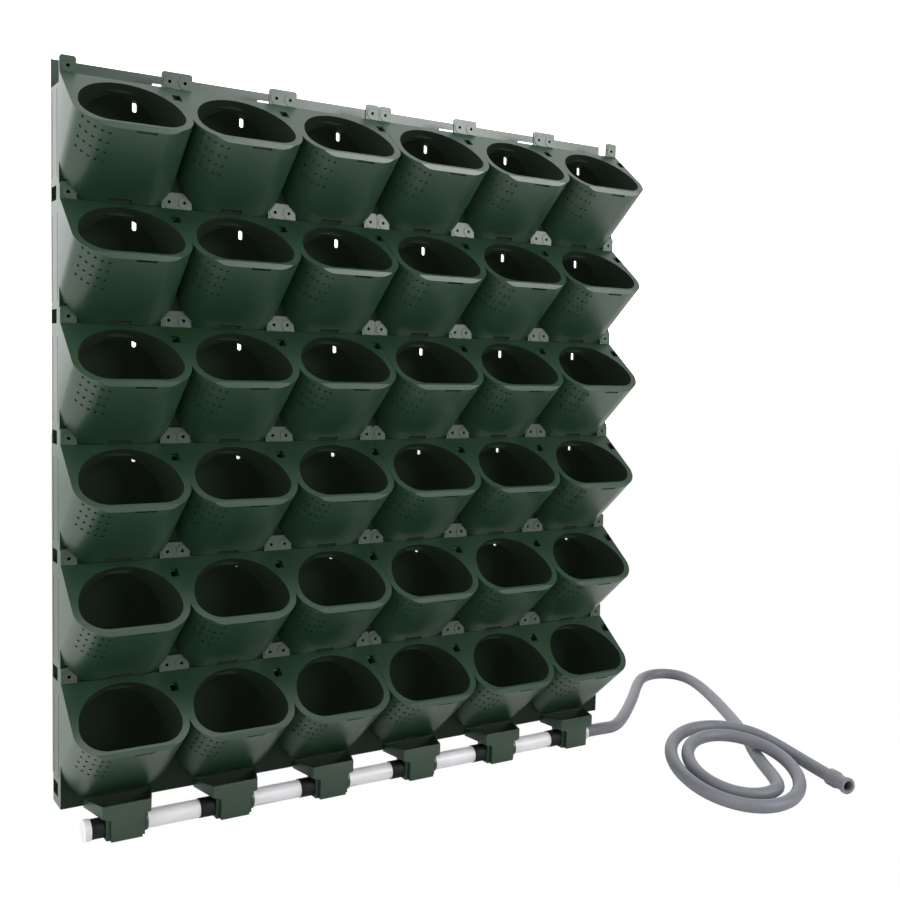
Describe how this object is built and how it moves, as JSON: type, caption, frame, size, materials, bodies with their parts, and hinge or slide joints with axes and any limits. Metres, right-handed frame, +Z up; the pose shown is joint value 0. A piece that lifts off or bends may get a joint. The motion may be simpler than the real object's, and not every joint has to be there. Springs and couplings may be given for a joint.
{
  "type": "self-watering vertical wall planter",
  "caption": "Stacking wall planter: dark green panels of slanted pockets over water chambers, drained through collectors and clear pipes into a floor hose.",
  "frame": {"origin": "on the wall plane, midway between the two inner screw slots of the bottom row", "axes": "+Z up, -Y out of the wall towards the viewer, +X to the viewer's right"},
  "size_m": [1.2806, 0.6263, 1.0088],
  "materials": {
    "green_plastic": "moulded, satin",
    "black_plastic": "moulded, matt",
    "clear_plastic": "clear extruded plastic",
    "white_plastic": "moulded, slightly translucent",
    "grey_hose": "smooth, matt",
    "grey_plastic": "moulded, matt"
  },
  "bodies": {
    "bottom_row": {"pocket_panel_row6_left": "green_plastic", "pocket_panel_row6_right": "green_plastic", "soil_grids_row6_left": "black_plastic", "soil_grids_row6_right": "black_plastic", "drain_collector_1": "green_plastic", "drain_collector_2": "green_plastic", "drain_collector_3": "green_plastic", "drain_collector_4": "green_plastic", "drain_collector_5": "green_plastic", "drain_collector_6": "green_plastic", "link_pipe_1": "clear_plastic", "link_pipe_2": "clear_plastic", "link_pipe_3": "clear_plastic", "link_pipe_4": "clear_plastic", "link_pipe_5": "clear_plastic", "end_nipple": "clear_plastic", "outlet_ring": "clear_plastic", "hose_run": "grey_hose", "hose_coil": "grey_hose", "hose_tail": "grey_hose", "hose_nozzle": "grey_plastic"},
    "row5_left": {"pocket_panel_row5_left": "green_plastic", "soil_grids_row5_left": "black_plastic"},
    "row4_left": {"pocket_panel_row4_left": "green_plastic", "soil_grids_row4_left": "black_plastic"},
    "row3_left": {"pocket_panel_row3_left": "green_plastic", "soil_grids_row3_left": "black_plastic"},
    "row2_left": {"pocket_panel_row2_left": "green_plastic", "soil_grids_row2_left": "black_plastic"},
    "row1_left": {"pocket_panel_row1_left": "green_plastic", "soil_grids_row1_left": "black_plastic"},
    "row5_right": {"pocket_panel_row5_right": "green_plastic", "soil_grids_row5_right": "black_plastic"},
    "row4_right": {"pocket_panel_row4_right": "green_plastic", "soil_grids_row4_right": "black_plastic"},
    "row3_right": {"pocket_panel_row3_right": "green_plastic", "soil_grids_row3_right": "black_plastic"},
    "row2_right": {"pocket_panel_row2_right": "green_plastic", "soil_grids_row2_right": "black_plastic"},
    "row1_right": {"pocket_panel_row1_right": "green_plastic", "soil_grids_row1_right": "black_plastic"},
    "cap": {"end_cap": "white_plastic"}
  },
  "joints": [
    {"name": "row5_left_lift", "type": "slide", "parent": "bottom_row", "child": "row5_left", "axis": [0, 0, 1], "range_m": [0, 0.036]},
    {"name": "row4_left_lift", "type": "slide", "parent": "row5_left", "child": "row4_left", "axis": [0, 0, 1], "range_m": [0, 0.036]},
    {"name": "row3_left_lift", "type": "slide", "parent": "row4_left", "child": "row3_left", "axis": [0, 0, 1], "range_m": [0, 0.036]},
    {"name": "row2_left_lift", "type": "slide", "parent": "row3_left", "child": "row2_left", "axis": [0, 0, 1], "range_m": [0, 0.036]},
    {"name": "row1_left_lift", "type": "slide", "parent": "row2_left", "child": "row1_left", "axis": [0, 0, 1], "range_m": [0, 0.036]},
    {"name": "row5_right_lift", "type": "slide", "parent": "bottom_row", "child": "row5_right", "axis": [0, 0, 1], "range_m": [0, 0.036]},
    {"name": "row4_right_lift", "type": "slide", "parent": "row5_right", "child": "row4_right", "axis": [0, 0, 1], "range_m": [0, 0.036]},
    {"name": "row3_right_lift", "type": "slide", "parent": "row4_right", "child": "row3_right", "axis": [0, 0, 1], "range_m": [0, 0.036]},
    {"name": "row2_right_lift", "type": "slide", "parent": "row3_right", "child": "row2_right", "axis": [0, 0, 1], "range_m": [0, 0.036]},
    {"name": "row1_right_lift", "type": "slide", "parent": "row2_right", "child": "row1_right", "axis": [0, 0, 1], "range_m": [0, 0.036]},
    {"name": "end_cap_pull", "type": "slide", "parent": "bottom_row", "child": "cap", "axis": [-1, 0, 0], "range_m": [0, 0.012]}
  ]
}
